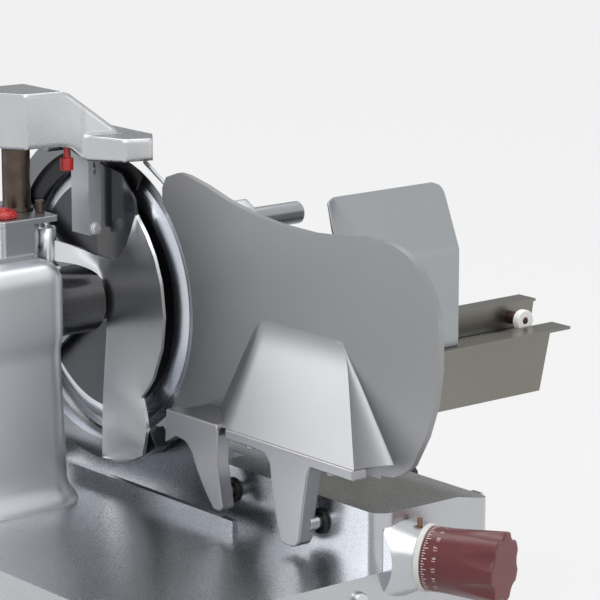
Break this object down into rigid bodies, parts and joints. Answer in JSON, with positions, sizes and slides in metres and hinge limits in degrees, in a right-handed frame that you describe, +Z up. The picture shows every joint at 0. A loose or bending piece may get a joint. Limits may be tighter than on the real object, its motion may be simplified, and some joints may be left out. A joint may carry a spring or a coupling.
{
  "type": "meat slicer",
  "caption": "Vertical meat slicer with round knife, slice deflector, gauge plate on two guide shafts, thickness knob, channel carriage with pusher, and sharpener head on a column",
  "frame": {"origin": "midpoint of the overall box in plan, on the ground", "axes": "+X to the machine's right along the knife's axis, +Y away from the operator, +Z up"},
  "size_m": [0.837, 0.8608, 0.607],
  "materials": {
    "casting": "polished cast aluminium, satin",
    "cover_sheet": "sheet steel",
    "foot_rubber": "black rubber",
    "black_plastic": "black moulded plastic",
    "button_chrome": "chromed metal",
    "button_red": "red plastic",
    "motor_paint": "dark grey paint",
    "shaft_steel": "ground steel",
    "pulley_metal": "turned aluminium",
    "belt_rubber": "fibre-filled rubber",
    "housing_iron": "black painted iron",
    "knife_steel": "polished hard-chromed knife steel",
    "screw_steel": "zinc-plated steel",
    "ring_alloy": "machined aluminium",
    "pad_plastic": "dark blue-black plastic",
    "deflector_steel": "polished stainless steel",
    "gauge_alloy": "anodised aluminium, fine sandblast",
    "seal_rubber": "black rubber",
    "knob_plastic": "maroon plastic",
    "collar_plastic": "off-white plastic",
    "pin_brass": "dull brass",
    "bush_bronze": "sintered bronze",
    "wheel_steel": "hardened steel",
    "channel_alloy": "anodised aluminium",
    "guard_alloy": "anodised aluminium sheet",
    "nylon": "white nylon",
    "bolt_dark": "browned steel",
    "handle_alloy": "brushed tube",
    "post_steel": "dark oxidised steel",
    "head_alloy": "polished cast aluminium",
    "strip_steel": "sheet steel",
    "stone_brown": "abrasive stone",
    "stone_white": "fine abrasive stone"
  },
  "bodies": {
    "frame": {"base_casting": "casting", "bottom_cover": "cover_sheet", "feet": "foot_rubber", "power_inlet": "black_plastic", "column": "casting", "motor": "motor_paint", "drive_belt": "belt_rubber", "hub_housing": "housing_iron", "bearings": "shaft_steel", "ring_guard": "ring_alloy", "guard_pad": "pad_plastic", "cover_disc": "ring_alloy", "tie_rod": "screw_steel", "deflector_pin": "button_chrome", "shaft_seals": "seal_rubber", "collar_ring": "collar_plastic", "index_pin": "pin_brass", "carriage_rod": "shaft_steel", "sharpener_base": "casting", "sharpener_post": "post_steel"},
    "knife_group": {"knife": "knife_steel", "knife_screws": "screw_steel", "knife_shaft": "shaft_steel", "knife_pulley": "pulley_metal"},
    "motor_rotor": {"motor_shaft": "shaft_steel", "motor_pulley": "pulley_metal"},
    "release_knob": {"tie_knob": "black_plastic"},
    "deflector": {"slice_deflector": "deflector_steel"},
    "gauge": {"gauge_plate": "gauge_alloy", "gauge_bracket": "casting", "bracket_bolts": "screw_steel", "guide_shafts": "shaft_steel", "cam_follower": "screw_steel"},
    "thickness_dial": {"thickness_knob": "knob_plastic", "cam_shaft": "screw_steel"},
    "start_switch": {"start_button": "button_chrome"},
    "stop_switch": {"stop_button": "button_red"},
    "carriage": {"carriage_slider": "casting", "slider_bushes": "bush_bronze", "carriage_arm": "casting", "arm_cover": "black_plastic", "product_channel": "channel_alloy", "product_table": "casting", "hand_guard": "guard_alloy", "roller_bolts": "bolt_dark"},
    "guide_wheel": {"guide_roller": "wheel_steel"},
    "outer_wheel": {"outer_roller": "nylon"},
    "inner_wheel": {"inner_roller": "nylon"},
    "pusher": {"pusher_sled": "casting", "pusher_arm": "casting", "pusher_plate": "ring_alloy", "pusher_handle": "handle_alloy"},
    "head": {"sharpener_head": "head_alloy", "hanging_strip": "strip_steel", "strip_rivet": "button_chrome"},
    "grinder": {"grinding_stone": "stone_brown"},
    "deburrer": {"deburring_stone": "stone_white"},
    "plunger": {"sharpener_button": "button_red"},
    "lever": {"release_lever": "strip_steel"},
    "height_lock": {"head_lock": "button_red"}
  },
  "joints": [
    {"name": "knife_spin", "type": "hinge", "parent": "frame", "child": "knife_group", "pos_m": [-0.0515, 0.22438, 0.345], "axis": [1, 0, 0], "continuous": true},
    {"name": "motor_spin", "type": "hinge", "parent": "frame", "child": "motor_rotor", "pos_m": [-0.2115, 0.22438, 0.184], "axis": [1, 0, 0], "continuous": true},
    {"name": "release_knob_turn", "type": "hinge", "parent": "frame", "child": "release_knob", "pos_m": [-0.4015, 0.22438, 0.345], "axis": [1, 0, 0], "range_deg": [0, 360]},
    {"name": "deflector_swing", "type": "hinge", "parent": "frame", "child": "deflector", "pos_m": [-0.1425, 0.23038, 0.416], "axis": [0, 0, 1], "range_deg": [-50, 0]},
    {"name": "gauge_slide", "type": "slide", "parent": "frame", "child": "gauge", "axis": [-1, 0, 0], "range_m": [0, 0.018]},
    {"name": "thickness_turn", "type": "hinge", "parent": "frame", "child": "thickness_dial", "pos_m": [-0.0175, -0.33012, 0.133], "axis": [0.4226, -0.9063, 0], "range_deg": [0, 341]},
    {"name": "start_press", "type": "slide", "parent": "frame", "child": "start_switch", "axis": [0, 1, 0], "range_m": [0, 0.003], "stiffness_N_per_m": 400, "springref_m": -0.002},
    {"name": "stop_press", "type": "slide", "parent": "frame", "child": "stop_switch", "axis": [0, 1, 0], "range_m": [0, 0.003], "stiffness_N_per_m": 400, "springref_m": -0.002},
    {"name": "carriage_slide", "type": "slide", "parent": "frame", "child": "carriage", "axis": [0, 1, 0], "range_m": [-0.2, 0.2]},
    {"name": "guide_roller_spin", "type": "hinge", "parent": "carriage", "child": "guide_wheel", "pos_m": [0.1065, 0.04438, 0.0599], "axis": [1, 0, 0], "continuous": true},
    {"name": "pusher_slide", "type": "slide", "parent": "carriage", "child": "pusher", "axis": [1, 0, 0], "range_m": [0, 0.22]},
    {"name": "outer_roller_spin", "type": "hinge", "parent": "carriage", "child": "outer_wheel", "pos_m": [0.3745, -0.06462, 0.3], "axis": [0, 1, 0], "continuous": true},
    {"name": "inner_roller_spin", "type": "hinge", "parent": "carriage", "child": "inner_wheel", "pos_m": [0.2485, -0.06462, 0.3], "axis": [0, 1, 0], "continuous": true},
    {"name": "head_lift", "type": "slide", "parent": "frame", "child": "head", "axis": [0, 0, 1], "range_m": [0, 0.03]},
    {"name": "grinder_spin", "type": "hinge", "parent": "head", "child": "grinder", "pos_m": [-0.0695, 0.17438, 0.529], "axis": [1, 0, 0], "continuous": true},
    {"name": "deburrer_spin", "type": "hinge", "parent": "head", "child": "deburrer", "pos_m": [-0.0405, 0.17438, 0.529], "axis": [1, 0, 0], "continuous": true},
    {"name": "plunger_press", "type": "slide", "parent": "head", "child": "plunger", "axis": [0, 0, 1], "range_m": [0, 0.003], "stiffness_N_per_m": 300, "springref_m": -0.003},
    {"name": "lever_tilt", "type": "hinge", "parent": "head", "child": "lever", "pos_m": [-0.0445, 0.15938, 0.535], "axis": [1, 0, 0], "range_deg": [-6, 6]},
    {"name": "height_lock_turn", "type": "hinge", "parent": "frame", "child": "height_lock", "pos_m": [-0.2185, 0.20638, 0.47], "axis": [0, 0, 1], "range_deg": [-90, 90]}
  ],
  "couplings": [
    {"joint": "motor_spin", "follows": "knife_spin", "ratio": 2.2},
    {"joint": "thickness_turn", "follows": "gauge_slide", "rad_per_m": 330.6},
    {"joint": "guide_roller_spin", "follows": "carriage_slide", "rad_per_m": 83.333},
    {"joint": "outer_roller_spin", "follows": "pusher_slide", "rad_per_m": -74.074},
    {"joint": "inner_roller_spin", "follows": "pusher_slide", "rad_per_m": -74.074}
  ]
}
